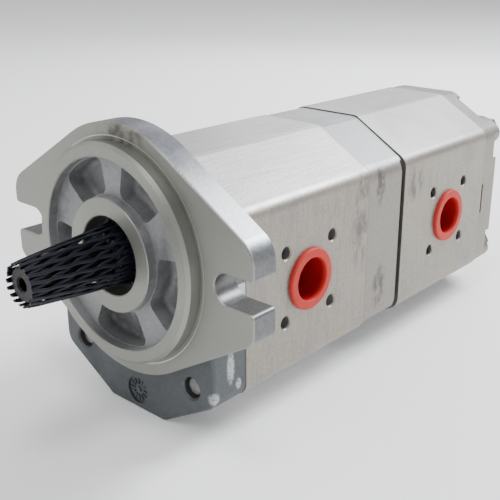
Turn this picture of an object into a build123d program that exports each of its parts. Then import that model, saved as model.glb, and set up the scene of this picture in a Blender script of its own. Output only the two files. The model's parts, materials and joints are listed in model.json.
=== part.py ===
"""A tandem hydraulic gear pump: two gear sections in line behind one two-bolt mounting cover.

Millimetres. The drive shaft runs along Y and points to -Y. The origin is the pilot's centre on the
mounting face. The drive gears turn about the Y axis, and the driven gears turn below them.
"""

import math
import os

from build123d import *

os.makedirs("parts", exist_ok=True)

# Mounting interface, two-bolt size A
PILOT_RADIUS = 41.275
PILOT_HEIGHT = 5.5
PILOT_CHAMFER = 1.2
SLOT_SPACING = 106.38
SLOT_RADIUS = 5.75
FLANGE_THICKNESS = 10.8
EAR_HALF_SPAN = 65.0
FLANGE_RADIUS = 47.5
FLANGE_SLOPE = 31.4
EDGE_BREAK = 0.35

# Stations along the pump
COVER_END = 20.5
FRONT_BODY_END = 96.0
CENTRE_END = 123.0
REAR_BODY_END = 197.5
REAR_PLATE_END = 207.5
REAR_CROSS_END = 212.5
BOLT_SEAT = 214.0
PORT_STATIONS = (57.0, 163.0)

# Body section: an eight-sided outline, the same above and below the mid height
HALF_WIDTH = 42.9
TOP_HALF_WIDTH = 15.4
TOP_HEIGHT = 34.3
SHOULDER_HEIGHT = 18.2
CENTRE_DISTANCE = 32.1
MID_HEIGHT = -CENTRE_DISTANCE / 2

# Gears
TEETH = 12
MODULE = CENTRE_DISTANCE / TEETH
PRESSURE_ANGLE = math.radians(28)
BACKLASH = 0.26
GEAR_WIDTH = 28.0
PITCH_RADIUS = CENTRE_DISTANCE / 2
BASE_RADIUS = PITCH_RADIUS * math.cos(PRESSURE_ANGLE)
GEAR_TIP_RADIUS = PITCH_RADIUS + MODULE
GEAR_ROOT_RADIUS = PITCH_RADIUS - 1.18 * MODULE
CHAMBER_RADIUS = GEAR_TIP_RADIUS + 0.075
SIDE_PLAY = 0.05

# Shafts and bearings
JOURNAL_RADIUS = 9.5
BUSH_RADIUS = 11.5
RUNNING_CLEARANCE = 0.05
SHAFT_END = -41.0
DRIVE_SPLINE_END = -8.5
SPLINE_TIP_RADIUS = 7.0
SPLINE_ROOT_RADIUS = 6.0
INNER_SPLINE_TIP_RADIUS = 7.4
INNER_SPLINE_ROOT_RADIUS = 6.5
COUPLING_RADIUS = 12.4
COUPLING_SPAN = (98.0, 121.0)
INNER_SPLINE_MEET = 109.5

# Through bolts, hexagon head, M8
BOLT_X = 31.0
BOLT_RISE = 30.15
BOLT_RADIUS = 4.0
BOLT_HOLE_RADIUS = 4.6
THREADED_HOLE_RADIUS = 4.15
BOLT_TIP = 6.0
BOLT_HEAD_RADIUS = 7.5
BOLT_HEAD_HEIGHT = 5.5
WASHER_RADIUS = 8.0
WASHER_THICKNESS = 1.6

# Ports: a round port with four tapped holes round it, on both sides of each section
PORT_RADIUS = 9.75
PORT_BOLT_SPACING = 28.28
PORT_BOLT_RADIUS = 2.5
PORT_BOLT_DEPTH = 12.0
PLUG_FLANGE_RADIUS = 12.5
PLUG_WALL_RADIUS = 9.68
PLUG_CUP_RADIUS = 8.7

# Locating dowels in every joint plane
DOWEL_X = 34.0
DOWEL_RADIUS = 3.0
DOWEL_HALF_LENGTH = 6.0

# Ring seals in every joint plane
SEAL_TRACK_RADIUS = 21.6
SEAL_WIDTH = 2.2
SEAL_DEPTH = 1.8

# Front cover casting
PLATE_FRONT = 3.9
RECESS_INNER_RADIUS = 21.55
RECESS_OUTER_RADIUS = 35.9
RECESS_DEPTH = 3.8
POCKET_FLOOR = 6.0
SEAL_BORE_RADIUS = 14.85
SEAL_BORE_END = 12.0
SHAFT_BORE_RADIUS = 10.3
# Angles between which each cast pocket lies, with the ribs left between them
POCKET_ANGLES = ((41, 80.5), (99.5, 139), (171, 222.5), (245.5, 294.5), (317.5, 369))

# Protective mesh sleeve on the drive shaft
SLEEVE_START = -43.0
SLEEVE_END = 1.0
SLEEVE_WALL = 1.3

DRIVE_AXIS = (0, 0)
DRIVEN_AXIS = (0, -CENTRE_DISTANCE)


def station(y):
    """The plane across the pump at distance y, with X to the right and Z up. Extrude by minus a
    length to go towards the back."""
    return Plane.XZ.offset(-y)


def save(solid_part, name):
    """Labels one finished node and writes it."""
    solid_part.label = name
    export_step(solid_part, f"parts/{name}.step")


def body_profile(inset, shoulder_radius, top_radius):
    """The eight-sided section, drawn in by inset, with its corners rounded."""
    half_width = HALF_WIDTH - inset
    top = TOP_HEIGHT - MID_HEIGHT - inset
    shoulder = SHOULDER_HEIGHT - MID_HEIGHT - inset
    right_half = [
        (TOP_HALF_WIDTH, MID_HEIGHT + top),
        (half_width, MID_HEIGHT + shoulder),
        (half_width, MID_HEIGHT - shoulder),
        (TOP_HALF_WIDTH, MID_HEIGHT - top),
    ]
    left_half = [(-x, z) for x, z in reversed(right_half)]
    with BuildSketch() as profile:
        with BuildLine():
            Polyline(*right_half, *left_half, close=True)
        make_face()
        shoulders = profile.vertices().filter_by(lambda v: abs(v.X) > TOP_HALF_WIDTH + 1)
        fillet(shoulders, shoulder_radius)
        flat_ends = profile.vertices().filter_by(lambda v: abs(abs(v.X) - TOP_HALF_WIDTH) < 0.01)
        fillet(flat_ends, top_radius)
    return profile.sketch


def figure_eight(radius):
    """Two overlapping discs, one on each gear axis."""
    with BuildSketch() as profile:
        with Locations(DRIVE_AXIS, DRIVEN_AXIS):
            Circle(radius)
    return profile.sketch


def race_track(radius, width):
    """A closed band of constant width that runs round both gear axes."""
    with BuildSketch() as band:
        with Locations((0, MID_HEIGHT)):
            SlotCenterToCenter(CENTRE_DISTANCE, 2 * (radius + width / 2), rotation=90)
            SlotCenterToCenter(
                CENTRE_DISTANCE, 2 * (radius - width / 2), rotation=90, mode=Mode.SUBTRACT
            )
    return band.sketch


def ring_of_teeth(tooth, root_radius, teeth, first_tooth_angle=0):
    """A disc with the same tooth repeated round it."""
    with BuildSketch() as profile:
        Circle(root_radius)
        with PolarLocations(0, teeth, start_angle=first_tooth_angle):
            add(tooth)
    return profile.sketch


def spline_profile(tip_radius, root_radius, teeth, tooth_share=0.5):
    """A straight-sided spline section."""
    tip_half = 0.7 * tooth_share * math.pi / teeth
    root_half = 1.25 * tooth_share * math.pi / teeth
    foot_radius = 0.9 * root_radius
    upper = [
        (tip_radius * math.cos(tip_half), tip_radius * math.sin(tip_half)),
        (root_radius * math.cos(root_half), root_radius * math.sin(root_half)),
        (foot_radius * math.cos(root_half), foot_radius * math.sin(root_half)),
    ]
    lower = [(x, -y) for x, y in reversed(upper)]
    with BuildSketch() as tooth:
        with BuildLine():
            Polyline(*upper, *lower, close=True)
        make_face()
    return ring_of_teeth(tooth.sketch, root_radius, teeth)


def involute(angle):
    return math.tan(angle) - angle


def flank_point(radius, side):
    """A point of one tooth's involute flank. The tooth is centred on the X axis."""
    tooth_half_angle = math.pi / (2 * TEETH) - BACKLASH / (4 * PITCH_RADIUS)
    roll = math.acos(BASE_RADIUS / radius)
    half_angle = tooth_half_angle + involute(PRESSURE_ANGLE) - involute(roll)
    return radius * math.cos(half_angle), side * radius * math.sin(half_angle)


def gear_profile(first_tooth_angle):
    """The pumping gear's section, with one tooth at the angle given in degrees."""
    flank_steps = 5
    climb = GEAR_TIP_RADIUS - BASE_RADIUS
    radii = [BASE_RADIUS + climb * step / flank_steps for step in range(flank_steps + 1)]
    lower = [flank_point(radius, -1) for radius in radii]
    upper = [flank_point(radius, 1) for radius in reversed(radii)]
    inside = 0.97 * GEAR_ROOT_RADIUS / BASE_RADIUS
    foot_lower = (lower[0][0] * inside, lower[0][1] * inside)
    foot_upper = (upper[-1][0] * inside, upper[-1][1] * inside)
    with BuildSketch() as tooth:
        with BuildLine():
            Line(foot_lower, lower[0])
            Spline(*lower)
            ThreePointArc(lower[-1], (GEAR_TIP_RADIUS, 0), upper[0])
            Spline(*upper)
            Line(upper[-1], foot_upper)
            Line(foot_upper, foot_lower)
        make_face()
    return ring_of_teeth(tooth.sketch, GEAR_ROOT_RADIUS, TEETH, first_tooth_angle)


def sector_profile(inner_radius, outer_radius, start_angle, end_angle, corner_radius):
    """A piece of a ring between two angles in degrees, with rounded corners."""
    first, last = math.radians(start_angle), math.radians(end_angle)
    middle = (first + last) / 2

    def at(radius, angle):
        return radius * math.cos(angle), radius * math.sin(angle)

    with BuildSketch() as profile:
        with BuildLine():
            ThreePointArc(at(outer_radius, first), at(outer_radius, middle), at(outer_radius, last))
            Line(at(outer_radius, last), at(inner_radius, last))
            ThreePointArc(at(inner_radius, last), at(inner_radius, middle), at(inner_radius, first))
            Line(at(inner_radius, first), at(outer_radius, first))
        make_face()
        fillet(profile.vertices(), corner_radius)
    return profile.sketch


def flange_profile():
    """The mounting flange: round above and below, with an ear and an open bolt slot on each side."""
    slope = math.radians(FLANGE_SLOPE)
    tangent_x, tangent_z = FLANGE_RADIUS * math.sin(slope), FLANGE_RADIUS * math.cos(slope)
    corner_z = tangent_z - (EAR_HALF_SPAN - tangent_x) * math.tan(slope)
    right_side = [
        (tangent_x, tangent_z), (EAR_HALF_SPAN, corner_z), (EAR_HALF_SPAN, -corner_z), (tangent_x, -tangent_z)
    ]
    left_side = [(-x, z) for x, z in right_side]
    with BuildSketch() as profile:
        with BuildLine():
            ThreePointArc(left_side[0], (0, FLANGE_RADIUS), right_side[0])
            Polyline(*right_side)
            ThreePointArc(left_side[-1], (0, -FLANGE_RADIUS), right_side[-1])
            Polyline(*left_side)
        make_face()
        upper_corners = profile.vertices().filter_by(lambda v: abs(v.X) > EAR_HALF_SPAN - 1 and v.Y > 0)
        fillet(upper_corners, 10)
        lower_corners = profile.vertices().filter_by(
            lambda v: abs(v.X) > EAR_HALF_SPAN - 1 and abs(v.Y + corner_z) < 0.01
        )
        fillet(lower_corners, 5)
        for side in (-1, 1):
            with Locations((side * SLOT_SPACING / 2, 0)):
                Circle(SLOT_RADIUS, mode=Mode.SUBTRACT)
            with Locations((side * (SLOT_SPACING / 2 + 10), 0)):
                Rectangle(20, 2 * SLOT_RADIUS, mode=Mode.SUBTRACT)
        mouth = profile.vertices().filter_by(
            lambda v: abs(v.X) > EAR_HALF_SPAN - 1 and abs(abs(v.Y) - SLOT_RADIUS) < 0.01
        )
        fillet(mouth, 1.6)
    return profile.sketch


def cover_profile():
    """The casting behind the flange: the body section, with a foot below it."""
    step_x, step_z = 21.5, -62.4
    foot_x = 15.5
    bottom = 2 * MID_HEIGHT - TOP_HEIGHT
    with BuildSketch() as profile:
        add(body_profile(0.1, 7, 6))
        with BuildLine():
            Polyline(
                (-foot_x, bottom), (foot_x, bottom), (step_x, step_z), (0, MID_HEIGHT), (-step_x, step_z),
                close=True,
            )
        make_face()
        foot_corners = profile.vertices().filter_by(lambda v: abs(v.X) < step_x + 1 and v.Y < step_z + 0.01)
        fillet(foot_corners, 4)
    return profile.sketch


BOLT_PLACES = [(x, MID_HEIGHT + rise) for x in (-BOLT_X, BOLT_X) for rise in (-BOLT_RISE, BOLT_RISE)]
DOWEL_PLACES = [(-DOWEL_X, MID_HEIGHT), (DOWEL_X, MID_HEIGHT)]


# Front cover: pilot, flange and casting in one piece
with BuildPart() as front_cover:
    with BuildSketch(station(PLATE_FRONT)):
        add(cover_profile())
    extrude(amount=-(COVER_END - PLATE_FRONT))
    fillet(front_cover.faces().sort_by(Axis.Y)[0].edges(), 1.2)
    with BuildSketch(station(0)):
        add(flange_profile())
    extrude(amount=-FLANGE_THICKNESS)
    chamfer(front_cover.faces().sort_by(Axis.Y)[0].edges(), EDGE_BREAK)
    with BuildSketch(station(-PILOT_HEIGHT)):
        Circle(PILOT_RADIUS)
    extrude(amount=-(PILOT_HEIGHT + 1))
    pilot_rim = front_cover.faces().sort_by(Axis.Y)[0].edges()
    chamfer(pilot_rim, PILOT_CHAMFER)
    # relief round the pilot's foot
    with BuildSketch(station(0)):
        Circle(PILOT_RADIUS + 1.6)
        Circle(PILOT_RADIUS, mode=Mode.SUBTRACT)
    extrude(amount=-0.35, mode=Mode.SUBTRACT)
    # ring recess between the pilot and the boss, with cast pockets between its ribs
    with BuildSketch(station(-PILOT_HEIGHT)):
        Circle(RECESS_OUTER_RADIUS)
        Circle(RECESS_INNER_RADIUS, mode=Mode.SUBTRACT)
    extrude(amount=-RECESS_DEPTH, mode=Mode.SUBTRACT)
    for start_angle, end_angle in POCKET_ANGLES:
        with BuildSketch(station(RECESS_DEPTH - PILOT_HEIGHT)):
            inner_wall, outer_wall = RECESS_INNER_RADIUS + 0.5, RECESS_OUTER_RADIUS - 0.5
            add(sector_profile(inner_wall, outer_wall, start_angle, end_angle, 3))
        extrude(amount=-(POCKET_FLOOR + PILOT_HEIGHT - RECESS_DEPTH), mode=Mode.SUBTRACT)
    pocket_floors = front_cover.faces().filter_by(
        lambda face: abs(face.center().Y - POCKET_FLOOR) < 0.01 and face.area < 900
    )
    fillet(pocket_floors.edges(), 2)
    # seal bore, retaining ring groove and shaft bore
    with BuildSketch(station(-PILOT_HEIGHT)):
        Circle(SEAL_BORE_RADIUS)
    extrude(amount=-(PILOT_HEIGHT + SEAL_BORE_END), mode=Mode.SUBTRACT)
    face_rims = front_cover.edges().filter_by(GeomType.CIRCLE).filter_by(
        lambda e: abs(e.center().Y + PILOT_HEIGHT) < 0.01 and e.radius < RECESS_OUTER_RADIUS + 0.1
    )
    chamfer(face_rims, EDGE_BREAK)
    with BuildSketch(station(2.6)):
        Circle(SEAL_BORE_RADIUS + 0.8)
    extrude(amount=-1.6, mode=Mode.SUBTRACT)
    with BuildSketch(station(SEAL_BORE_END)):
        Circle(SHAFT_BORE_RADIUS)
    extrude(amount=-(COVER_END - SEAL_BORE_END), mode=Mode.SUBTRACT)
    # threaded holes: the lower pair come through to the front
    with BuildSketch(station(COVER_END)):
        with Locations(*BOLT_PLACES):
            Circle(THREADED_HOLE_RADIUS)
    extrude(amount=COVER_END - PLATE_FRONT, mode=Mode.SUBTRACT)
    hole_rims = front_cover.edges().filter_by(GeomType.CIRCLE).filter_by(
        lambda e: abs(e.center().Y - PLATE_FRONT) < 0.01
        and abs(e.radius - THREADED_HOLE_RADIUS) < 0.01
        and e.center().Z < MID_HEIGHT
    )
    chamfer(hole_rims, 0.7)
    with BuildSketch(station(COVER_END)):
        with Locations(*DOWEL_PLACES):
            Circle(DOWEL_RADIUS + 0.02)
    extrude(amount=DOWEL_HALF_LENGTH + 0.3, mode=Mode.SUBTRACT)
    with BuildSketch(station(COVER_END)):
        add(race_track(SEAL_TRACK_RADIUS, SEAL_WIDTH + 0.1))
    extrude(amount=SEAL_DEPTH + 0.05, mode=Mode.SUBTRACT)
    # round casting stamp with plain ticks
    stamp_place = (0.8, -58.3)
    stamp_radius = 5.6
    with BuildSketch(station(PLATE_FRONT)):
        with Locations(stamp_place):
            Circle(stamp_radius)
    extrude(amount=-0.8, mode=Mode.SUBTRACT)
    with BuildSketch(station(PLATE_FRONT + 0.35)):
        with Locations(stamp_place):
            Circle(1.1)
            with PolarLocations(stamp_radius * 0.62, 12):
                Rectangle(2.2, 0.6)
    extrude(amount=-0.6)
save(front_cover.part, "front_cover")


def make_body(name, start, end, port_station):
    """One section's housing, bored right through for its gears and bearing blocks."""
    length = end - start
    with BuildPart() as body:
        with BuildSketch(station(start)):
            add(body_profile(0, 6, 5))
        extrude(amount=-length)
        with BuildSketch(station(start)):
            add(figure_eight(CHAMBER_RADIUS))
            with Locations(*BOLT_PLACES):
                Circle(BOLT_HOLE_RADIUS)
        extrude(amount=-length, mode=Mode.SUBTRACT)
        for face_y, direction in ((start, -1), (end, 1)):
            with BuildSketch(station(face_y)):
                with Locations(*DOWEL_PLACES):
                    Circle(DOWEL_RADIUS + 0.02)
            extrude(amount=direction * (DOWEL_HALF_LENGTH + 0.3), mode=Mode.SUBTRACT)
        for side in (-1, 1):
            port_plane = Plane(
                origin=(side * HALF_WIDTH, port_station, MID_HEIGHT), x_dir=(0, 1, 0), z_dir=(side, 0, 0)
            )
            with BuildSketch(port_plane):
                Circle(PORT_RADIUS)
            extrude(amount=-(HALF_WIDTH - 5), mode=Mode.SUBTRACT)
            with BuildSketch(port_plane):
                with GridLocations(PORT_BOLT_SPACING, PORT_BOLT_SPACING, 2, 2):
                    Circle(PORT_BOLT_RADIUS)
            extrude(amount=-PORT_BOLT_DEPTH, mode=Mode.SUBTRACT)
        tapped_rims = body.edges().filter_by(GeomType.CIRCLE).filter_by(
            lambda e: abs(abs(e.center().X) - HALF_WIDTH) < 0.01 and e.radius < PORT_BOLT_RADIUS + 0.1
        )
        chamfer(tapped_rims, 0.5)
    save(body.part, name)


make_body("front_body", COVER_END, FRONT_BODY_END, PORT_STATIONS[0])
make_body("rear_body", CENTRE_END, REAR_BODY_END, PORT_STATIONS[1])


# Centre section between the two bodies, with room for the shaft coupling
with BuildPart() as centre_section:
    centre_length = CENTRE_END - FRONT_BODY_END
    with BuildSketch(station(FRONT_BODY_END)):
        add(body_profile(0.5, 8, 6))
    extrude(amount=-centre_length)
    with BuildSketch(station(FRONT_BODY_END)):
        Circle(COUPLING_RADIUS + 0.8)
        with Locations(*BOLT_PLACES):
            Circle(BOLT_HOLE_RADIUS)
    extrude(amount=-centre_length, mode=Mode.SUBTRACT)
    # parting groove down both sides, next to the rear body
    groove_width, groove_depth = 2.2, 2.4
    for side in (-1, 1):
        with BuildSketch(station(CENTRE_END - groove_width)):
            with Locations((side * HALF_WIDTH, MID_HEIGHT)):
                Rectangle(2 * groove_depth, 2 * (SHOULDER_HEIGHT - MID_HEIGHT + 1))
        extrude(amount=-groove_width, mode=Mode.SUBTRACT)
    for face_y, direction in ((FRONT_BODY_END, -1), (CENTRE_END, 1)):
        with BuildSketch(station(face_y)):
            with Locations(*DOWEL_PLACES):
                Circle(DOWEL_RADIUS + 0.02)
        extrude(amount=direction * (DOWEL_HALF_LENGTH + 0.3), mode=Mode.SUBTRACT)
        with BuildSketch(station(face_y)):
            add(race_track(SEAL_TRACK_RADIUS, SEAL_WIDTH + 0.1))
        extrude(amount=direction * (SEAL_DEPTH + 0.05), mode=Mode.SUBTRACT)
save(centre_section.part, "centre_section")


# Rear cover: a plate with a raised cross, and a round boss under each bolt head
with BuildPart() as rear_cover:
    cross_half_width, cross_half_height = 19.0, 19.5
    boss_radius, boss_tip_radius = 8.8, 6.0
    boss_tip_shift_x, boss_tip_shift_z = 5.0, 1.5
    with BuildSketch(station(REAR_BODY_END)):
        add(body_profile(0.3, 8, 6))
    extrude(amount=-(REAR_PLATE_END - REAR_BODY_END))
    with BuildSketch(station(REAR_PLATE_END)):
        add(body_profile(0.4, 8, 6))
        with BuildSketch(mode=Mode.INTERSECT):
            with Locations((0, MID_HEIGHT)):
                Rectangle(2 * cross_half_width, 4 * TOP_HEIGHT)
                Rectangle(2 * HALF_WIDTH, 2 * cross_half_height)
                RectangleRounded(2 * cross_half_width + 6, 2 * cross_half_height + 4, 4)
    extrude(amount=-(REAR_CROSS_END - REAR_PLATE_END))
    fillet(rear_cover.faces().sort_by(Axis.Y)[-1].edges(), 1.8)
    # each boss reaches out towards its corner
    boss_tips = [
        (x + math.copysign(boss_tip_shift_x, x), z + math.copysign(boss_tip_shift_z, z - MID_HEIGHT))
        for x, z in BOLT_PLACES
    ]
    with BuildSketch(station(REAR_PLATE_END)):
        with Locations(*BOLT_PLACES):
            Circle(boss_radius)
        with Locations(*boss_tips):
            Circle(boss_tip_radius)
        add(body_profile(0.4, 8, 6), mode=Mode.INTERSECT)
    extrude(amount=-(BOLT_SEAT - REAR_PLATE_END))
    with BuildSketch(station(REAR_BODY_END)):
        with Locations(*BOLT_PLACES):
            Circle(BOLT_HOLE_RADIUS)
    extrude(amount=-(BOLT_SEAT - REAR_BODY_END), mode=Mode.SUBTRACT)
    with BuildSketch(station(REAR_BODY_END)):
        with Locations(*DOWEL_PLACES):
            Circle(DOWEL_RADIUS + 0.02)
    extrude(amount=-(DOWEL_HALF_LENGTH + 0.3), mode=Mode.SUBTRACT)
    with BuildSketch(station(REAR_BODY_END)):
        add(race_track(SEAL_TRACK_RADIUS, SEAL_WIDTH + 0.1))
    extrude(amount=-(SEAL_DEPTH + 0.05), mode=Mode.SUBTRACT)
    # prising slot in each side of the joint
    with BuildSketch(station(REAR_BODY_END)):
        with Locations((-HALF_WIDTH, MID_HEIGHT), (HALF_WIDTH, MID_HEIGHT)):
            Rectangle(7, 15)
    extrude(amount=-1.8, mode=Mode.SUBTRACT)
save(rear_cover.part, "rear_cover")


def gear_band(port_station):
    """First and last station of the gears in the section with this port."""
    return port_station - GEAR_WIDTH / 2, port_station + GEAR_WIDTH / 2


# Front drive gear, in one piece with the splined drive shaft
with BuildPart() as front_drive_gear:
    gear_start, gear_end = gear_band(PORT_STATIONS[0])
    with BuildSketch(station(DRIVE_SPLINE_END)):
        Circle(JOURNAL_RADIUS)
    extrude(amount=-(FRONT_BODY_END - DRIVE_SPLINE_END))
    chamfer(front_drive_gear.faces().sort_by(Axis.Y)[0].edges(), 1.5)
    with BuildSketch(station(SHAFT_END)):
        add(spline_profile(SPLINE_TIP_RADIUS, SPLINE_ROOT_RADIUS, 9))
    extrude(amount=-(DRIVE_SPLINE_END - SHAFT_END + 1))
    # long bevel on the shaft's end
    bevel_length = 2.6
    with BuildSketch(Plane.YZ):
        with BuildLine():
            Polyline(
                (SHAFT_END - 1, SPLINE_ROOT_RADIUS - 0.7),
                (SHAFT_END - 1, SPLINE_TIP_RADIUS + 1),
                (SHAFT_END + bevel_length, SPLINE_TIP_RADIUS + 1),
                (SHAFT_END + bevel_length, SPLINE_TIP_RADIUS),
                close=True,
            )
        make_face()
    revolve(axis=Axis.Y, mode=Mode.SUBTRACT)
    with BuildSketch(station(SHAFT_END)):
        Circle(2.3)
    extrude(amount=-9, mode=Mode.SUBTRACT)
    centre_rim = front_drive_gear.edges().filter_by(GeomType.CIRCLE).filter_by(
        lambda e: abs(e.center().Y - SHAFT_END) < 0.01 and e.radius < 2.4
    )
    chamfer(centre_rim, 0.6)
    with BuildSketch(station(gear_start)):
        add(gear_profile(0))
    extrude(amount=-GEAR_WIDTH)
    with BuildSketch(station(FRONT_BODY_END)):
        add(spline_profile(INNER_SPLINE_TIP_RADIUS, INNER_SPLINE_ROOT_RADIUS, 12))
    extrude(amount=-(INNER_SPLINE_MEET - 0.5 - FRONT_BODY_END))
save(front_drive_gear.part, "front_drive_gear")


with BuildPart() as rear_drive_gear:
    gear_start, gear_end = gear_band(PORT_STATIONS[1])
    with BuildSketch(station(CENTRE_END)):
        Circle(JOURNAL_RADIUS)
    extrude(amount=-(REAR_BODY_END - 1 - CENTRE_END))
    chamfer(rear_drive_gear.faces().sort_by(Axis.Y)[-1].edges(), 1)
    with BuildSketch(station(gear_start)):
        add(gear_profile(0))
    extrude(amount=-GEAR_WIDTH)
    with BuildSketch(station(INNER_SPLINE_MEET + 0.5)):
        add(spline_profile(INNER_SPLINE_TIP_RADIUS, INNER_SPLINE_ROOT_RADIUS, 12))
    extrude(amount=-(CENTRE_END - INNER_SPLINE_MEET))
save(rear_drive_gear.part, "rear_drive_gear")


# Sleeve that joins the two drive gears' splined ends
with BuildPart() as shaft_coupling:
    coupling_length = COUPLING_SPAN[1] - COUPLING_SPAN[0]
    with BuildSketch(station(COUPLING_SPAN[0])):
        Circle(COUPLING_RADIUS)
    extrude(amount=-coupling_length)
    chamfer(shaft_coupling.edges().filter_by(GeomType.CIRCLE), 0.8)
    with BuildSketch(station(COUPLING_SPAN[0])):
        add(spline_profile(INNER_SPLINE_TIP_RADIUS + 0.1, INNER_SPLINE_ROOT_RADIUS + 0.1, 12, 0.54))
    extrude(amount=-coupling_length, mode=Mode.SUBTRACT)
save(shaft_coupling.part, "shaft_coupling")


def make_driven_gear(name, section_start, section_end, port_station):
    """A driven gear with a journal on each side, half a tooth out of step with its drive gear."""
    gear_start, _ = gear_band(port_station)
    end_gap = 1.0
    with BuildPart() as driven_gear:
        with BuildSketch(station(section_start + end_gap)):
            with Locations(DRIVEN_AXIS):
                Circle(JOURNAL_RADIUS)
        extrude(amount=-(section_end - section_start - 2 * end_gap))
        ends = driven_gear.faces().filter_by(Axis.Y).edges()
        chamfer(ends, 1)
        with BuildSketch(station(gear_start)):
            with Locations(DRIVEN_AXIS):
                add(gear_profile(180 / TEETH))
        extrude(amount=-GEAR_WIDTH)
    save(driven_gear.part, name)


make_driven_gear("front_driven_gear", COVER_END, FRONT_BODY_END, PORT_STATIONS[0])
make_driven_gear("rear_driven_gear", CENTRE_END, REAR_BODY_END, PORT_STATIONS[1])


# Bearing blocks: the first and last station of each, and the way its gear side faces
front_gear_start, front_gear_end = gear_band(PORT_STATIONS[0])
rear_gear_start, rear_gear_end = gear_band(PORT_STATIONS[1])
BLOCK_SPANS = {
    "front_section_outer": (COVER_END + SIDE_PLAY, front_gear_start - SIDE_PLAY, 1),
    "front_section_inner": (front_gear_end + SIDE_PLAY, FRONT_BODY_END - SIDE_PLAY, -1),
    "rear_section_inner": (CENTRE_END + SIDE_PLAY, rear_gear_start - SIDE_PLAY, 1),
    "rear_section_outer": (rear_gear_end + SIDE_PLAY, REAR_BODY_END - SIDE_PLAY, -1),
}
BALANCE_TRACK_RADIUS = 14.6
BALANCE_WIDTH = 1.6
BALANCE_DEPTH = 2.0


def balance_band(width, shift):
    """The band of the pressure-balance seals: round both gear axes, and open across the waist."""
    with BuildSketch() as band:
        add(figure_eight(BALANCE_TRACK_RADIUS + shift + width / 2))
        with Locations(DRIVE_AXIS, DRIVEN_AXIS):
            Circle(BALANCE_TRACK_RADIUS + shift - width / 2, mode=Mode.SUBTRACT)
    return band.sketch


for block_name, (block_start, block_end, gear_side) in BLOCK_SPANS.items():
    seal_face = block_start if gear_side > 0 else block_end
    gear_face = block_end if gear_side > 0 else block_start
    with BuildPart() as bearing_block:
        with BuildSketch(station(block_start)):
            add(figure_eight(GEAR_TIP_RADIUS))
            with Locations(DRIVE_AXIS, DRIVEN_AXIS):
                Circle(BUSH_RADIUS, mode=Mode.SUBTRACT)
        extrude(amount=-(block_end - block_start))
        with BuildSketch(station(seal_face)):
            add(balance_band(2 * BALANCE_WIDTH + 0.1, 0))
        extrude(amount=-gear_side * BALANCE_DEPTH, mode=Mode.SUBTRACT)
        # relief pockets beside the mesh, open to the gears
        with BuildSketch(station(gear_face)):
            with Locations((-6.2, MID_HEIGHT), (6.2, MID_HEIGHT)):
                Rectangle(3.2, 5.5)
        extrude(amount=gear_side * 1.5, mode=Mode.SUBTRACT)
    save(bearing_block.part, f"{block_name}_bearing_block")

    with BuildPart() as bearing_bushes:
        with BuildSketch(station(block_start)):
            with Locations(DRIVE_AXIS, DRIVEN_AXIS):
                Circle(BUSH_RADIUS - 0.01)
                Circle(JOURNAL_RADIUS + RUNNING_CLEARANCE, mode=Mode.SUBTRACT)
        extrude(amount=-(block_end - block_start))
    save(bearing_bushes.part, f"{block_name}_bearing_bushes")


def make_balance_rings(name, shift):
    """One half of each bearing block's seal pair: the rubber seals, or the stiff strips beside them."""
    with BuildPart() as rings:
        for block_start, block_end, gear_side in BLOCK_SPANS.values():
            seal_face = block_start if gear_side > 0 else block_end
            with BuildSketch(station(seal_face)):
                add(balance_band(BALANCE_WIDTH - 0.06, shift))
            extrude(amount=-gear_side * (BALANCE_DEPTH - 0.05))
    save(rings.part, name)


make_balance_rings("balance_seals", BALANCE_WIDTH / 2)
make_balance_rings("balance_seal_strips", -BALANCE_WIDTH / 2)


# Ring seals in the four joint planes, each in the groove of the part it is fitted to
RING_SEALS = {
    "front_cover_ring_seal": (COVER_END, 1),
    "centre_section_front_ring_seal": (FRONT_BODY_END, -1),
    "centre_section_rear_ring_seal": (CENTRE_END, 1),
    "rear_cover_ring_seal": (REAR_BODY_END, -1),
}
for seal_name, (joint_y, direction) in RING_SEALS.items():
    with BuildPart() as ring_seal:
        with BuildSketch(station(joint_y)):
            add(race_track(SEAL_TRACK_RADIUS, SEAL_WIDTH))
        extrude(amount=direction * SEAL_DEPTH)
    save(ring_seal.part, seal_name)


# Shaft seal: a stiffened rubber ring with a lip on the shaft
with BuildPart() as shaft_seal:
    seal_start, seal_end = 4.4, 11.4
    lip_radius = JOURNAL_RADIUS + 0.08
    with BuildSketch(Plane.YZ):
        with BuildLine():
            Polyline(
                (seal_start, SEAL_BORE_RADIUS - 0.03),
                (seal_end, SEAL_BORE_RADIUS - 0.03),
                (seal_end, SEAL_BORE_RADIUS - 1.6),
                (seal_start + 2.2, SEAL_BORE_RADIUS - 1.6),
                (seal_start + 2.2, lip_radius + 1.4),
                (seal_end - 1.2, lip_radius + 1.6),
                (seal_end - 1.6, lip_radius),
                (seal_start + 2.6, lip_radius + 0.5),
                (seal_start, lip_radius + 0.2),
                close=True,
            )
        make_face()
    revolve(axis=Axis.Y)
save(shaft_seal.part, "shaft_seal")


# Retaining ring in front of the seal: an open ring with a lug at each end
with BuildPart() as seal_retaining_ring:
    ring_outer, ring_inner = SEAL_BORE_RADIUS + 0.7, SEAL_BORE_RADIUS - 1.7
    lug_radius, lug_centre = 2.1, SEAL_BORE_RADIUS - 2.4
    gap_angle, lug_offset = -72, 12.5
    with BuildSketch(station(2.7)):
        Circle(ring_outer)
        Circle(ring_inner, mode=Mode.SUBTRACT)
        with Locations(Rotation(0, 0, gap_angle)):
            with Locations((ring_outer, 0)):
                Rectangle(8, 2 * (lug_centre * math.sin(math.radians(lug_offset)) - 0.4), mode=Mode.SUBTRACT)
        for lug_angle in (gap_angle - lug_offset, gap_angle + lug_offset):
            angle = math.radians(lug_angle)
            with Locations((lug_centre * math.cos(angle), lug_centre * math.sin(angle))):
                Circle(lug_radius)
                Circle(0.9, mode=Mode.SUBTRACT)
    extrude(amount=-1.4)
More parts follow.
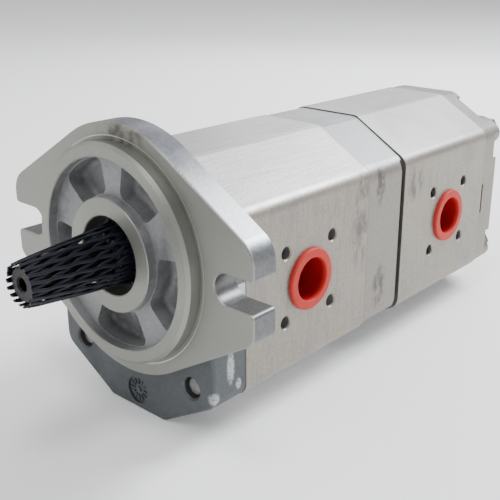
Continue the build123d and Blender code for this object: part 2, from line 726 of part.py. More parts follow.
save(seal_retaining_ring.part, "seal_retaining_ring")


# Protective mesh sleeve: the plain tube that the plastic mesh fills, wider where it meets the bore
with BuildPart() as mesh_sleeve:
    inner_line = [(SLEEVE_START, 6.45), (-38.0, 7.1), (-8.0, 9.75), (-4.0, 9.95), (SLEEVE_END, 10.7)]
    outer_line = [(y, radius + SLEEVE_WALL) for y, radius in reversed(inner_line)]
    with BuildSketch(Plane.YZ):
        with BuildLine():
            Polyline(*inner_line, *outer_line, close=True)
        make_face()
    revolve(axis=Axis.Y)
save(mesh_sleeve.part, "mesh_sleeve")


# Through bolts from the rear cover into the front cover, with their washers
with BuildPart() as through_bolts:
    head_seat = BOLT_SEAT + WASHER_THICKNESS
    with BuildSketch(station(BOLT_TIP)):
        with Locations(*BOLT_PLACES):
            Circle(BOLT_RADIUS)
    extrude(amount=-(head_seat - BOLT_TIP))
    chamfer(through_bolts.edges().filter_by(lambda e: abs(e.center().Y - BOLT_TIP) < 0.01), 0.9)
    with BuildSketch(station(head_seat)):
        with Locations(*BOLT_PLACES):
            RegularPolygon(BOLT_HEAD_RADIUS, 6)
    extrude(amount=-BOLT_HEAD_HEIGHT)
save(through_bolts.part, "through_bolts")

with BuildPart() as bolt_washers:
    with BuildSketch(station(BOLT_SEAT)):
        with Locations(*BOLT_PLACES):
            Circle(WASHER_RADIUS)
            Circle(BOLT_RADIUS + 0.25, mode=Mode.SUBTRACT)
    extrude(amount=-WASHER_THICKNESS)
save(bolt_washers.part, "bolt_washers")


# Two dowels in every joint plane
with BuildPart() as dowel_pins:
    for joint_y in (COVER_END, FRONT_BODY_END, CENTRE_END, REAR_BODY_END):
        with BuildSketch(station(joint_y - DOWEL_HALF_LENGTH)):
            with Locations(*DOWEL_PLACES):
                Circle(DOWEL_RADIUS)
        extrude(amount=-2 * DOWEL_HALF_LENGTH)
save(dowel_pins.part, "dowel_pins")


def make_port_plug(name, side, port_station):
    """A push-in shipping plug: a thin-walled cup with a rounded flange."""
    flange_thickness, cup_depth, floor_thickness = 1.7, 11.0, 1.2
    plug_plane = Plane(
        origin=(side * HALF_WIDTH, port_station, MID_HEIGHT), x_dir=(0, 1, 0), z_dir=(side, 0, 0)
    )
    with BuildPart() as port_plug:
        with BuildSketch(plug_plane):
            Circle(PLUG_FLANGE_RADIUS)
        extrude(amount=flange_thickness)
        outward = Axis((0, 0, 0), (side, 0, 0))
        fillet(port_plug.faces().sort_by(outward)[-1].edges(), 0.8)
        with BuildSketch(plug_plane):
            Circle(PLUG_WALL_RADIUS)
        extrude(amount=-cup_depth)
        with BuildSketch(plug_plane.offset(flange_thickness)):
            Circle(PLUG_CUP_RADIUS)
        extrude(amount=-(flange_thickness + cup_depth - floor_thickness), mode=Mode.SUBTRACT)
        mouth = port_plug.edges().filter_by(GeomType.CIRCLE).filter_by(
            lambda e: abs(e.radius - PLUG_CUP_RADIUS) < 0.01
        )
        fillet(mouth.sort_by(outward)[-1], 0.6)
    save(port_plug.part, name)


for side_name, side in (("left", -1), ("right", 1)):
    for section_name, port_station in zip(("front", "rear"), PORT_STATIONS):
        make_port_plug(f"{section_name}_{side_name}_port_plug", side, port_station)
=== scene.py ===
"""The looks of a tandem hydraulic gear pump: materials, the mesh sleeve, light, floor and camera.

Metres, in the CAD model's frame: the shaft points to -Y and Z is up.
"""

import json
import math
import random

import bmesh
import bpy
from mathutils import Euler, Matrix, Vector


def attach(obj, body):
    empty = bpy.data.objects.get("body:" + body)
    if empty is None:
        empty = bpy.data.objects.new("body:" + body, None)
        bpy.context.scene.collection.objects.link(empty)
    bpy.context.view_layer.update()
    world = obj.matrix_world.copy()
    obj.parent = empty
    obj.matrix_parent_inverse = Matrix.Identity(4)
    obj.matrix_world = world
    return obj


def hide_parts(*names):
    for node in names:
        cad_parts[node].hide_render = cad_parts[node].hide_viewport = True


# Camera
CAMERA_AZIMUTH = math.radians(40.11)
CAMERA_ELEVATION = math.radians(20.08)
CAMERA_ROLL = math.radians(0.61)
CAMERA_PLACE = (0.22415, -0.17617, 0.10655)
CAMERA_LENS = 59.29
CAMERA_SENSOR = 36
CAMERA_SHIFT = (-0.0600, -0.0156)
CAMERA_NEAR = 0.01

# Where finishes, painted highlights and painted shade meet. A pair is where one starts and where it is full.
# A set of four is where it starts, is full, begins to fade and ends.
IN_FRONT_Y = (0.0010, 0.0006)
BELOW_PILOT_FACE_Y = (-0.0053, -0.0050)
RECESS_RADIUS = (0.02115, 0.02145, 0.0360, 0.0363)
BORE_RADIUS = (0.0161, 0.0158)
# Painted highlight: a thin bright ring round the pilot's foot
PILOT_FOOT_HIGHLIGHT_RADIUS = (0.04240, 0.04275, 0.04290, 0.04310)
LOWER_PLATE_Y = (0.0030, 0.0036)
LOWER_PLATE_Z = (-0.022, -0.030)
# Painted highlight on the flange rim's right slope
RIM_HIGHLIGHT_X = (0.024, 0.046, 0.0600, 0.0630)
# Painted shade on the ear ends
EAR_END_X = (0.0642, 0.0648)
# Painted shade inside the ear slots, which the rim highlight also leaves out
EAR_SLOT_Z = (0.0064, 0.0058)
BODY_SIDE_X = (0.0405, 0.0427)
CASTING_SIDE_X = (0.0400, 0.0422)
# Where the body slopes turn darker towards the rear
DARKER_REAR_SLOPE_Y = (0.09, 0.14)
REAR_COVER_Y = (0.190, 0.198)
OILED_SHAFT_Y = (-0.004, -0.007)
RUSTY_STEEL_Y = (0.05, 0.03)
PLUG_FACE_X = 0.0429
PLUG_CUP_DEPTH = (0.0008, -0.0010)

# Turning marks on the front cover
TURNING_PITCH = 0.00032

# Joints between the castings, and how far from each its line of dirt starts and is full
JOINTS = (0.0205, 0.096, 0.1230, 0.1975)
JOINT_LINE = (0.00045, 0.00015)

# Marks: place and reach
STAIN = ((0.004, 0.0, 0.0440), (0.016, 0.004, 0.0060))
SCUFFS = (
    ((0.0429, 0.0125, -0.037), (0.0040, 0.0024, 0.0080)),
    ((0.0429, 0.0045, -0.0470), (0.0040, 0.0026, 0.0034)),
    ((0.0429, 0.0165, -0.0450), (0.0040, 0.0018, 0.0028)),
)
BODY_SMUDGES = (
    ((0.0429, 0.0905, -0.004), (0.006, 0.008, 0.022)),
    ((0.0429, 0.092, 0.012), (0.006, 0.005, 0.010)),
    ((0.0429, 0.132, 0.006), (0.006, 0.008, 0.010)),
    ((-0.0429, 0.150, 0.0), (0.006, 0.012, 0.014)),
)
CASTING_SMUDGES = (
    ((0.0425, 0.105, 0.011), (0.006, 0.004, 0.011)),
    ((0.0425, 0.107, -0.036), (0.006, 0.006, 0.013)),
)

# Mesh sleeve: its two ends, and its inner radius at stations between them
SLEEVE_START = -0.0430
SLEEVE_END = 0.0010
SLEEVE_INNER_LINE = (
    (-0.0430, 0.00645),
    (-0.038, 0.0071),
    (-0.008, 0.00975),
    (-0.004, 0.00995),
    (0.001, 0.0107),
)

# Strands of the sleeve. A section is half the strand's width and half its height, a depth is above the
# inner radius, and a turn is in radians over the sleeve's length.
STRANDS = 18
STRAND_STEPS = 110
STRAND_SIDES = 8
OUTER_STRAND = (0.00066, 0.00042)
INNER_STRAND = (0.00062, 0.00036)
OUTER_STRAND_DEPTH = 0.00086
INNER_STRAND_DEPTH = 0.00038
OUTER_TURN = -0.35
INNER_TURN = 1.44
STRAND_WAVE = 0.00014
STRAND_ANGLE_PLAY = 0.02
STRAND_FRONT_GAP = (0.0008, 0.0014)
STRAND_BACK_GAP = 0.0002
STRAND_SHARP_ANGLE = math.radians(50)

# Floor, with a wall round it
FLOOR_Z = -0.0666
FLOOR_RADIUS = 4.0
FLOOR_STEPS = 96
BEND_RADIUS = 1.6
BEND_STEPS = 16
MERGE_DISTANCE = 0.0001

# Light: name, place, size, power and colour of each lamp
LIGHT_TARGET = (0, 0.08, -0.01)
LIGHTS = (
    ("key_light", (0.42, 1.22, 1.04), (0.70, 0.55), 42.0, (0.96, 0.98, 1.0)),
    ("back_light", (-0.42, 0.95, 0.48), (0.70, 0.35), 4.5, (0.98, 0.99, 1.0)),
    ("top_light", (0.12, -0.12, 0.95), (0.30, 0.30), 3.2, (0.98, 0.99, 1.0)),
    ("left_light", (-0.80, -0.35, 0.50), (0.4, 0.4), 1.5, (1.0, 0.98, 0.95)),
    ("front_light", (0.05, -0.62, 0.75), (0.35, 0.35), 2.4, (0.97, 0.99, 1.0)),
)
WORLD_COLOUR = (0.97, 0.98, 1.0, 1)
WORLD_STRENGTH = 0.55

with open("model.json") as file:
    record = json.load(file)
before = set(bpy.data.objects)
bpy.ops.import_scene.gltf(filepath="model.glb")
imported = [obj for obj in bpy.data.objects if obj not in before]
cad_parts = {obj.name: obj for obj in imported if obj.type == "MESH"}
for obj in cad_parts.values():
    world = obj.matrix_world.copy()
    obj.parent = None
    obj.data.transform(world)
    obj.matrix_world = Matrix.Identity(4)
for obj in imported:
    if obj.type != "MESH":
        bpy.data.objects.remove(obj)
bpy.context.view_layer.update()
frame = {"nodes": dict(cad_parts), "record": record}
nodes = frame["nodes"]
chance = random.Random(7)


# ---------------------------------------------------------------- material tools

class Recipe:
    """One material under construction. Its methods add shader nodes and return their outputs."""

    def __init__(self, name):
        self.material = bpy.data.materials.new(name)
        self.material.use_nodes = True
        self.tree = self.material.node_tree
        self.shader = self.tree.nodes["Principled BSDF"]
        self.place = self.tree.nodes.new("ShaderNodeTexCoord").outputs["Object"]

    def set(self, socket, value):
        """Links an output to a socket, or sets the socket's constant value."""
        if isinstance(value, bpy.types.NodeSocket):
            self.tree.links.new(value, socket)
        elif isinstance(value, tuple) and len(value) == 3 and socket.type == "RGBA":
            socket.default_value = (*value, 1)
        else:
            socket.default_value = value

    def look(self, **values):
        """Sets the Principled shader's inputs, named with underscores for spaces."""
        for name, value in values.items():
            self.set(self.shader.inputs[name.replace("_", " ").title().replace("Ior", "IOR")], value)

    def math(self, operation, first, second=0.0):
        node = self.tree.nodes.new("ShaderNodeMath")
        node.operation = operation
        self.set(node.inputs[0], first)
        self.set(node.inputs[1], second)
        return node.outputs[0]

    def axes(self):
        """The X, Y and Z of the point being shaded."""
        node = self.tree.nodes.new("ShaderNodeSeparateXYZ")
        self.set(node.inputs[0], self.place)
        return node.outputs[0], node.outputs[1], node.outputs[2]

    def radius(self, x, z):
        """Distance from the Y axis."""
        squares = self.math("ADD", self.math("MULTIPLY", x, x), self.math("MULTIPLY", z, z))
        return self.math("SQRT", squares)

    def distance(self, value, middle=0.0):
        """How far a value is from the middle, either way."""
        return self.math("ABSOLUTE", self.math("SUBTRACT", value, middle))

    def ease(self, value, low, high, out_low=0.0, out_high=1.0):
        """Maps value from low..high to out_low..out_high, smoothly and clamped."""
        node = self.tree.nodes.new("ShaderNodeMapRange")
        node.interpolation_type = "SMOOTHSTEP"
        for index, item in enumerate((value, low, high, out_low, out_high)):
            self.set(node.inputs[index], item)
        return node.outputs[0]

    def band(self, value, start, full, fade, end):
        """1 between full and fade, falling to 0 at start and end."""
        return self.all_of(self.ease(value, start, full), self.ease(value, end, fade))

    def spot(self, centre, size):
        """1 at a place on the pump, falling to 0 at the given distances from it."""
        total = 0.0
        for value, middle, reach in zip(self.axes(), centre, size):
            offset = self.math("DIVIDE", self.math("SUBTRACT", value, middle), reach)
            total = self.math("ADD", total, self.math("MULTIPLY", offset, offset))
        return self.ease(total, 1.0, 0.1)

    def all_of(self, mask, *others):
        """1 where every mask is 1."""
        for other in others:
            mask = self.math("MULTIPLY", mask, other)
        return mask

    def opposite(self, mask):
        return self.math("SUBTRACT", 1.0, mask)

    def noise(self, scale, detail=4.0, roughness=0.55, stretch=(1, 1, 1), distortion=0.0):
        """Noise over the pump. A stretch below 1 draws it out along that axis."""
        mapping = self.tree.nodes.new("ShaderNodeMapping")
        self.set(mapping.inputs["Vector"], self.place)
        mapping.inputs["Scale"].default_value = stretch
        node = self.tree.nodes.new("ShaderNodeTexNoise")
        self.set(node.inputs["Vector"], mapping.outputs[0])
        node.inputs["Scale"].default_value = scale
        node.inputs["Detail"].default_value = detail
        node.inputs["Roughness"].default_value = roughness
        node.inputs["Distortion"].default_value = distortion
        return node.outputs["Fac"]

    def mix(self, factor, first, second):
        """A colour between first and second."""
        node = self.tree.nodes.new("ShaderNodeMix")
        node.data_type = "RGBA"
        self.set(node.inputs["Factor"], factor)
        self.set(node.inputs[6], first)
        self.set(node.inputs[7], second)
        return node.outputs[2]

    def blend(self, factor, first, second):
        """A number between first and second."""
        node = self.tree.nodes.new("ShaderNodeMix")
        self.set(node.inputs["Factor"], factor)
        self.set(node.inputs[2], first)
        self.set(node.inputs[3], second)
        return node.outputs[0]

    def cover(self, colour, over, pattern, low, high, most):
        """Lays a second colour over the first as the pattern goes from low to high, up to most of it."""
        return self.mix(self.ease(pattern, low, high, 0.0, most), colour, over)

    def marks(self, colour, over, places, pattern):
        """Lays a second colour over the first at each place, broken up by the pattern."""
        for centre, size in places:
            colour = self.mix(self.all_of(self.spot(centre, size), pattern), colour, over)
        return colour

    def bump(self, height, strength, distance):
        node = self.tree.nodes.new("ShaderNodeBump")
        self.set(node.inputs["Height"], height)
        self.set(node.inputs["Strength"], strength)
        node.inputs["Distance"].default_value = distance
        return node.outputs[0]


def dirty_joints(recipe, colour):
    """A thin dark line of dirt along every joint between the castings."""
    along = recipe.axes()[1]
    for joint in JOINTS:
        distance = recipe.distance(along, joint)
        colour = recipe.cover(colour, (0.06, 0.055, 0.05), distance, *JOINT_LINE, 0.55)
    return colour


# ---------------------------------------------------------------- materials

def turned_metal(recipe, clouds, blotches, foot_highlight):
    """Turned aluminium, with a brown stain at the top and a painted highlight round the pilot's foot."""
    fine = recipe.noise(2600.0, 3.0, 0.6)
    metal = recipe.mix(clouds, (0.245, 0.247, 0.222), (0.315, 0.317, 0.292))
    metal = recipe.cover(metal, (0.21, 0.205, 0.19), fine, 0.35, 0.75, 0.25)
    stained = recipe.all_of(recipe.spot(*STAIN), recipe.ease(blotches, 0.38, 0.66, 0.0, 0.75))
    metal = recipe.mix(stained, metal, (0.07, 0.05, 0.035))
    # Painted highlight: the bright ring round the pilot's foot
    return recipe.mix(foot_highlight, metal, (0.75, 0.75, 0.73))


def outer_skin(recipe, grain, blotches):
    """Cast skin round the flange, with a painted highlight on its right slope and painted shade in the slots
    and on the ear ends.
    """
    x, _, z = recipe.axes()
    in_slot = recipe.ease(recipe.distance(z), *EAR_SLOT_Z)
    rim_highlight = recipe.all_of(recipe.band(x, *RIM_HIGHLIGHT_X), recipe.opposite(in_slot))
    end_and_slot_shade = recipe.math("MAXIMUM", recipe.ease(recipe.distance(x), *EAR_END_X), in_slot)
    skin = recipe.mix(grain, (0.075, 0.08, 0.09), (0.25, 0.26, 0.28))
    skin = recipe.cover(skin, (0.10, 0.105, 0.12), blotches, 0.45, 0.62, 0.7)
    # Painted highlight: a brighter skin on the rim's right slope
    skin = recipe.mix(rim_highlight, skin, recipe.mix(grain, (0.40, 0.41, 0.42), (0.60, 0.61, 0.62)))
    # Painted shade: a darker skin on the ear ends and in the slots
    return recipe.mix(end_and_slot_shade, skin, recipe.mix(grain, (0.07, 0.072, 0.075), (0.20, 0.205, 0.21)))


def dark_skin(recipe, grain, recess):
    """Cast skin of the lower plate and, lighter, of the recess, with darker patches."""
    plate = recipe.mix(grain, (0.075, 0.082, 0.088), (0.135, 0.145, 0.152))
    skin = recipe.mix(recess, plate, recipe.mix(grain, (0.18, 0.183, 0.185), (0.33, 0.333, 0.335)))
    patches = recipe.noise(60.0, 6.0, 0.6, distortion=0.4)
    return recipe.cover(skin, (0.06, 0.062, 0.066), patches, 0.48, 0.72, 0.6)


def machined_casting():
    """The front cover: turned faces at the front, cast skin in the recess and behind the flange."""
    recipe = Recipe("machined_casting")
    x, y, z = recipe.axes()
    radius = recipe.radius(x, z)
    in_front = recipe.ease(y, *IN_FRONT_Y)
    recess = recipe.all_of(recipe.band(radius, *RECESS_RADIUS), recipe.ease(y, *BELOW_PILOT_FACE_Y))
    faces = recipe.all_of(in_front, recipe.opposite(recess))
    machined = recipe.math("MAXIMUM", faces, recipe.ease(radius, *BORE_RADIUS))
    lower_plate = recipe.all_of(recipe.ease(z, *LOWER_PLATE_Z), recipe.ease(y, *LOWER_PLATE_Y))
    dark = recipe.math("MAXIMUM", recess, lower_plate)
    # Painted highlight: a thin bright ring round the pilot's foot
    foot_highlight = recipe.all_of(recipe.band(radius, *PILOT_FOOT_HIGHLIGHT_RADIUS), in_front)

    grain = recipe.noise(700.0, 5.0, 0.65)
    clouds = recipe.noise(45.0, 5.0, 0.55)
    blotches = recipe.noise(190.0, 5.0, 0.65)
    skin = recipe.mix(dark, outer_skin(recipe, grain, blotches), dark_skin(recipe, grain, recess))
    skin = recipe.marks(skin, (0.46, 0.48, 0.48), SCUFFS, recipe.ease(grain, 0.30, 0.55))

    rings = recipe.math("SINE", recipe.math("MULTIPLY", radius, 2 * math.pi / TURNING_PITCH))
    turning = recipe.math("MULTIPLY", recipe.all_of(rings, machined), 0.35)
    cast_height = recipe.all_of(grain, recipe.opposite(machined))
    turned_roughness = recipe.ease(clouds, 0.3, 0.7, 0.40, 0.50)
    recipe.look(
        base_color=recipe.mix(machined, skin, turned_metal(recipe, clouds, blotches, foot_highlight)),
        metallic=recipe.blend(recess, recipe.blend(machined, 0.80, 0.85), 0.35),
        roughness=recipe.blend(machined, recipe.blend(dark, 0.40, 0.58), turned_roughness),
        normal=recipe.bump(recipe.math("ADD", turning, cast_height), 0.35, 0.00018),
    )
    return recipe.material


def extruded_aluminium():
    """Bodies: fine lines along the pump, tan tarnished sides and slopes painted lighter as painted light,
    with faint smudges.
    """
    recipe = Recipe("extruded_aluminium")
    x, y, _ = recipe.axes()
    side = recipe.ease(recipe.distance(x), *BODY_SIDE_X)
    lines = recipe.noise(900.0, 4.0, 0.6, stretch=(1, 0.035, 1))
    fine_lines = recipe.noise(2600.0, 3.0, 0.6, stretch=(1, 0.02, 1))
    cross_lines = recipe.noise(1300.0, 3.0, 0.6, stretch=(0.06, 1, 0.06))
    speckle = recipe.noise(1250.0, 4.0, 0.75)
    clouds = recipe.noise(38.0, 6.0, 0.6, distortion=0.5)
    tarnish = recipe.noise(75.0, 5.0, 0.6, distortion=0.8)
    smudges = recipe.noise(260.0, 6.0, 0.7, stretch=(1, 1, 0.4))

    # Painted light: the slopes are painted a lighter grey than the sides, for the light that falls on them;
    # the tan on the sides is tarnish
    slope_colour = recipe.mix(clouds, (0.40, 0.40, 0.395), (0.53, 0.53, 0.52))
    # The slopes turn darker towards the rear
    slope_colour = recipe.cover(slope_colour, (0.19, 0.19, 0.185), y, *DARKER_REAR_SLOPE_Y, 0.80)
    side_colour = recipe.mix(clouds, (0.258, 0.232, 0.185), (0.372, 0.345, 0.292))
    side_colour = recipe.cover(side_colour, (0.250, 0.228, 0.232), tarnish, 0.50, 0.66, 0.6)
    side_colour = recipe.cover(side_colour, (0.315, 0.278, 0.195), tarnish, 0.46, 0.32, 0.6)
    colour = recipe.mix(side, slope_colour, side_colour)
    colour = recipe.cover(colour, (0.30, 0.29, 0.275), lines, 0.38, 0.70, 0.50)
    dots = recipe.all_of(recipe.ease(speckle, 0.44, 0.68), recipe.blend(side, 0.55, 0.80))
    colour = recipe.mix(dots, colour, (0.21, 0.195, 0.175))
    weave = recipe.all_of(side, recipe.ease(cross_lines, 0.46, 0.70, 0.0, 0.55))
    colour = recipe.mix(weave, colour, (0.20, 0.185, 0.165))
    smeared = recipe.ease(smudges, 0.42, 0.62, 0.0, 0.85)
    colour = recipe.marks(colour, (0.115, 0.100, 0.098), BODY_SMUDGES, smeared)

    height = recipe.math("ADD", recipe.math("MULTIPLY", lines, 0.8), recipe.math("MULTIPLY", fine_lines, 0.4))
    height = recipe.math("ADD", height, recipe.math("MULTIPLY", speckle, 0.35))
    recipe.look(
        base_color=dirty_joints(recipe, colour),
        metallic=0.72,
        roughness=recipe.ease(clouds, 0.3, 0.7, 0.40, 0.52),
        normal=recipe.bump(height, 0.30, 0.00010),
    )
    return recipe.material


def cast_aluminium():
    """Centre section and rear cover: grey cast slopes, tan sides, and darker slopes at the rear."""
    recipe = Recipe("cast_aluminium")
    x, y, _ = recipe.axes()
    side = recipe.ease(recipe.distance(x), *CASTING_SIDE_X)
    grain = recipe.noise(1100.0, 5.0, 0.65)
    clouds = recipe.noise(50.0, 5.0, 0.6, distortion=0.6)
    smudges = recipe.noise(300.0, 6.0, 0.7, stretch=(1, 1, 0.5))

    slope_colour = recipe.mix(clouds, (0.185, 0.190, 0.195), (0.265, 0.270, 0.275))
    slope_colour = recipe.cover(slope_colour, (0.105, 0.104, 0.098), y, *REAR_COVER_Y, 1.0)
    side_colour = recipe.mix(clouds, (0.205, 0.188, 0.162), (0.300, 0.280, 0.250))
    colour = recipe.mix(side, slope_colour, side_colour)
    colour = recipe.cover(colour, (0.155, 0.148, 0.14), grain, 0.46, 0.72, 0.60)
    smeared = recipe.ease(smudges, 0.40, 0.58, 0.0, 0.90)
    colour = recipe.marks(colour, (0.09, 0.080, 0.080), CASTING_SMUDGES, smeared)

    recipe.look(
        base_color=dirty_joints(recipe, colour),
        metallic=0.74,
        roughness=recipe.ease(clouds, 0.3, 0.7, 0.38, 0.50),
        normal=recipe.bump(recipe.math("ADD", grain, recipe.math("MULTIPLY", clouds, 1.5)), 0.22, 0.00016),
    )
    return recipe.material


def ground_steel(name, base, rust, rust_share):
    """Steel with fine grinding lines, rustier near the front and oiled at the shaft's end."""
    recipe = Recipe(name)
    along = recipe.axes()[1]
    lines = recipe.noise(2400.0, 3.0, 0.6, stretch=(0.1, 1, 0.1))
    patches = recipe.noise(320.0, 6.0, 0.7)
    rusting = recipe.ease(along, *RUSTY_STEEL_Y, 0.25 * rust_share, rust_share)
    colour = recipe.mix(recipe.ease(along, *OILED_SHAFT_Y), base, (0.011, 0.009, 0.012))
    colour = recipe.cover(colour, (0.03, 0.03, 0.03), lines, 0.3, 0.7, 0.35)
    colour = recipe.cover(colour, rust, patches, 0.45, 0.70, rusting)
    recipe.look(
        base_color=colour,
        metallic=0.9,
        roughness=recipe.ease(patches, 0.3, 0.7, 0.30, 0.46),
        normal=recipe.bump(lines, 0.2, 0.00006),
    )
    return recipe.material


def bronze():
    recipe = Recipe("bearing_bronze")
    pores = recipe.noise(1800.0, 4.0, 0.7)
    tone = recipe.noise(120.0, 4.0, 0.6)
    colour = recipe.mix(tone, (0.45, 0.31, 0.15), (0.60, 0.44, 0.25))
    recipe.look(
        base_color=recipe.cover(colour, (0.16, 0.10, 0.05), pores, 0.55, 0.75, 0.6),
        metallic=0.9,
        roughness=0.38,
        normal=recipe.bump(pores, 0.25, 0.00006),
    )
    return recipe.material


def bearing_aluminium():
    recipe = Recipe("bearing_aluminium")
    scratches = recipe.noise(1400.0, 4.0, 0.6, stretch=(1, 0.2, 1))
    tone = recipe.noise(90.0, 4.0, 0.6)
    colour = recipe.mix(tone, (0.60, 0.60, 0.60), (0.72, 0.72, 0.71))
    recipe.look(
        base_color=recipe.cover(colour, (0.40, 0.40, 0.40), scratches, 0.5, 0.8, 0.35),
        metallic=0.85,
        roughness=0.36,
        normal=recipe.bump(scratches, 0.2, 0.00008),
    )
    return recipe.material


def seal_rubber():
    """Black rubber with a fine grain and a faint bloom."""
    recipe = Recipe("seal_rubber")
    grain = recipe.noise(1800.0, 4.0, 0.6)
    bloom = recipe.noise(220.0, 5.0, 0.6)
    recipe.look(
        base_color=recipe.mix(bloom, (0.012, 0.012, 0.012), (0.03, 0.03, 0.03)),
        roughness=recipe.ease(bloom, 0.3, 0.7, 0.54, 0.68),
        normal=recipe.bump(grain, 0.3, 0.00005),
    )
    return recipe.material


def stiff_plastic():
    recipe = Recipe("backup_plastic")
    tone = recipe.noise(200.0, 4.0, 0.6)
    recipe.look(
        base_color=recipe.mix(tone, (0.70, 0.67, 0.58), (0.82, 0.80, 0.72)),
        roughness=0.45,
        normal=recipe.bump(recipe.noise(2000.0), 0.15, 0.00005),
    )
    return recipe.material


def red_plastic():
    """Soft red plug plastic: coral on the rim and deep red inside the cup, the deeper red being painted
    shade.
    """
    recipe = Recipe("red_plastic")
    beyond_face = recipe.math("SUBTRACT", recipe.distance(recipe.axes()[0]), PLUG_FACE_X)
    inside = recipe.ease(beyond_face, *PLUG_CUP_DEPTH)
    mould = recipe.noise(500.0, 5.0, 0.6)
    haze = recipe.noise(110.0, 4.0, 0.6)
    rim = recipe.mix(haze, (0.42, 0.022, 0.016), (0.52, 0.036, 0.026))
    # Painted shade: the inside of the cup is painted a darker, deeper red
    cup = recipe.mix(haze, (0.30, 0.003, 0.004), (0.42, 0.008, 0.008))
    recipe.look(
        base_color=recipe.mix(inside, rim, cup),
        roughness=recipe.blend(inside, 0.52, 0.28),
        specular_ior_level=0.25,
        subsurface_weight=0.10,
        subsurface_scale=0.002,
        subsurface_radius=(1.0, 0.15, 0.08),
        normal=recipe.bump(mould, 0.18, 0.00010),
    )
    return recipe.material


def black_net():
    recipe = Recipe("black_net")
    drawn = recipe.noise(1500.0, 4.0, 0.6, stretch=(1, 0.12, 1))
    bloom = recipe.noise(180.0, 5.0, 0.6)
    recipe.look(
        base_color=recipe.mix(bloom, (0.0015, 0.002, 0.006), (0.006, 0.009, 0.020)),
        roughness=recipe.ease(drawn, 0.3, 0.7, 0.36, 0.50),
        specular_ior_level=0.35,
        normal=recipe.bump(drawn, 0.3, 0.00008),
    )
    return recipe.material


FINISHES = {
    "machined_casting": machined_casting(),
    "extruded_aluminium": extruded_aluminium(),
    "cast_aluminium": cast_aluminium(),
    "bearing_aluminium": bearing_aluminium(),
    "gear_steel": ground_steel("gear_steel", (0.30, 0.29, 0.29), (0.09, 0.06, 0.05), 0.5),
    "bolt_steel": ground_steel("bolt_steel", (0.27, 0.262, 0.25), (0.11, 0.06, 0.038), 1.0),
    "spring_steel": ground_steel("spring_steel", (0.20, 0.19, 0.18), (0.08, 0.06, 0.05), 0.4),
    "bearing_bronze": bronze(),
    "seal_rubber": seal_rubber(),
    "backup_plastic": stiff_plastic(),
    "red_plastic": red_plastic(),
    "black_net": black_net(),
}


def paint_frame():
    """Gives every CAD node the finish named in the record."""
    for entry in frame["record"]["subparts"]:
        piece = nodes[entry["node"]]
        piece.data.materials.clear()
        piece.data.materials.append(FINISHES[entry["material_slot"]])


# ---------------------------------------------------------------- mesh sleeve

def sleeve_radius(y):
    """The sleeve's inner radius at y."""
    for (start, first), (end, last) in zip(SLEEVE_INNER_LINE, SLEEVE_INNER_LINE[1:]):
        if y <= end:
            share = (y - start) / (end - start)
            return first + (last - first) * share
    return SLEEVE_INNER_LINE[-1][1]


def strand(first_angle, turn, depth, section, start, end):
    """Vertices and faces of one plastic strand that winds by turn radians over the sleeve's length."""
    half_width, half_height = section
    vertices = []
    for step in range(STRAND_STEPS + 1):
        y = start + (end - start) * step / STRAND_STEPS
        share = (y - SLEEVE_START) / (SLEEVE_END - SLEEVE_START)
        radius = sleeve_radius(y) + depth
        crossings = (INNER_TURN - OUTER_TURN) * STRANDS * share
        angle = first_angle + turn * share + STRAND_WAVE / radius * math.sin(crossings)
        outward = Vector((math.cos(angle), 0, math.sin(angle)))
        around = Vector((-math.sin(angle), 0, math.cos(angle)))
        slope = turn * radius / (SLEEVE_END - SLEEVE_START)
        along = (Vector((0, 1, 0)) + around * slope).normalized()
        sideways = outward.cross(along).normalized()
        centre = outward * radius + Vector((0, y, 0))
        for side in range(STRAND_SIDES):
            turned = 2 * math.pi * side / STRAND_SIDES
            offset = sideways * (half_width * math.cos(turned)) + outward * (half_height * math.sin(turned))
            vertices.append(centre + offset)
    faces = []
    for step in range(STRAND_STEPS):
        low, high = step * STRAND_SIDES, (step + 1) * STRAND_SIDES
        for side in range(STRAND_SIDES):
            following = (side + 1) % STRAND_SIDES
            faces.append((low + side, low + following, high + following, high + side))
    last = STRAND_STEPS * STRAND_SIDES
    faces.append(tuple(range(STRAND_SIDES)))
    faces.append(tuple(reversed(range(last, last + STRAND_SIDES))))
    return vertices, faces


def make_mesh_sleeve():
    """The plastic net: straight outer strands crossed by slanting inner ones."""
    vertices, faces = [], []
    for turn, depth, section in (
        (OUTER_TURN, OUTER_STRAND_DEPTH, OUTER_STRAND),
        (INNER_TURN, INNER_STRAND_DEPTH, INNER_STRAND),
    ):
        for number in range(STRANDS):
            angle = 2 * math.pi * number / STRANDS + chance.uniform(-STRAND_ANGLE_PLAY, STRAND_ANGLE_PLAY)
            start = SLEEVE_START + chance.uniform(*STRAND_FRONT_GAP)
            end = SLEEVE_END - STRAND_BACK_GAP
            new_vertices, new_faces = strand(angle, turn, depth, section, start, end)
            base = len(vertices)
            vertices.extend(new_vertices)
            faces.extend(tuple(base + index for index in face) for face in new_faces)
    mesh = bpy.data.meshes.new("net")
    mesh.from_pydata(vertices, [], faces)
    mesh.shade_smooth()
    mesh.set_sharp_from_angle(angle=STRAND_SHARP_ANGLE)
    mesh.materials.append(FINISHES["black_net"])
    piece = bpy.data.objects.new("mesh_sleeve_net", mesh)
    bpy.context.scene.collection.objects.link(piece)
    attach(piece, "sleeve")
    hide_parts("mesh_sleeve")


# ---------------------------------------------------------------- studio

def area_light(name, place, size, power, colour):
    """A rectangular lamp that points at the pump."""
    light = bpy.data.lights.new(name, "AREA")
    light.shape = "RECTANGLE"
    light.size, light.size_y = size
    light.energy = power
    light.color = colour
    lamp = bpy.data.objects.new(name, light)
    lamp.location = place
    lamp.rotation_euler = (Vector(LIGHT_TARGET) - Vector(place)).to_track_quat("-Z", "Y").to_euler()
    bpy.context.scene.collection.objects.link(lamp)


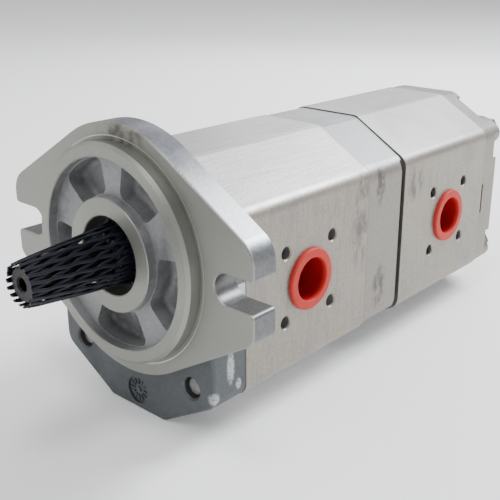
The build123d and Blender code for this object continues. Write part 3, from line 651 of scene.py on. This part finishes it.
def make_floor():
    """A flat round floor that curves up into a wall all round, far from the pump."""
    profile = [(0.0, 0.0), (FLOOR_RADIUS, 0.0)]
    for step in range(1, BEND_STEPS + 1):
        angle = math.pi / 2 * step / BEND_STEPS
        profile.append((FLOOR_RADIUS + BEND_RADIUS * math.sin(angle), BEND_RADIUS * (1 - math.cos(angle))))
    shape = bmesh.new()
    line = [shape.verts.new((radius, 0, FLOOR_Z + height)) for radius, height in profile]
    edges = [shape.edges.new(pair) for pair in zip(line, line[1:])]
    bmesh.ops.spin(
        shape,
        geom=line + edges,
        cent=(0, 0, 0),
        axis=(0, 0, 1),
        angle=2 * math.pi,
        steps=FLOOR_STEPS,
    )
    bmesh.ops.remove_doubles(shape, verts=shape.verts[:], dist=MERGE_DISTANCE)
    bmesh.ops.recalc_face_normals(shape, faces=shape.faces[:])
    mesh = bpy.data.meshes.new("floor")
    shape.to_mesh(mesh)
    shape.free()
    mesh.shade_smooth()
    recipe = Recipe("floor")
    recipe.look(
        base_color=(0.90, 0.90, 0.90),
        roughness=0.7,
        emission_color=(1.0, 1.0, 1.0),
        emission_strength=0.17,
    )
    mesh.materials.append(recipe.material)
    floor = bpy.data.objects.new("floor", mesh)
    bpy.context.scene.collection.objects.link(floor)


def make_world():
    """An even pale sky."""
    world = bpy.data.worlds.new("studio")
    world.use_nodes = True
    background = world.node_tree.nodes["Background"]
    background.inputs["Color"].default_value = WORLD_COLOUR
    background.inputs["Strength"].default_value = WORLD_STRENGTH
    bpy.context.scene.world = world


def make_camera():
    """The camera: in front of the pump, to its right and a little above."""
    data = bpy.data.cameras.new("camera")
    data.lens = CAMERA_LENS
    data.sensor_width = CAMERA_SENSOR
    data.shift_x, data.shift_y = CAMERA_SHIFT
    data.clip_start = CAMERA_NEAR
    camera = bpy.data.objects.new("camera", data)
    level = Euler((math.pi / 2 - CAMERA_ELEVATION, 0, CAMERA_AZIMUTH)).to_matrix()
    roll = Euler((0, 0, CAMERA_ROLL)).to_matrix()
    camera.rotation_euler = (level @ roll).to_euler()
    camera.location = CAMERA_PLACE
    bpy.context.scene.collection.objects.link(camera)
    bpy.context.scene.camera = camera


paint_frame()
make_mesh_sleeve()
make_world()
make_floor()
for lamp_settings in LIGHTS:
    area_light(*lamp_settings)
make_camera()
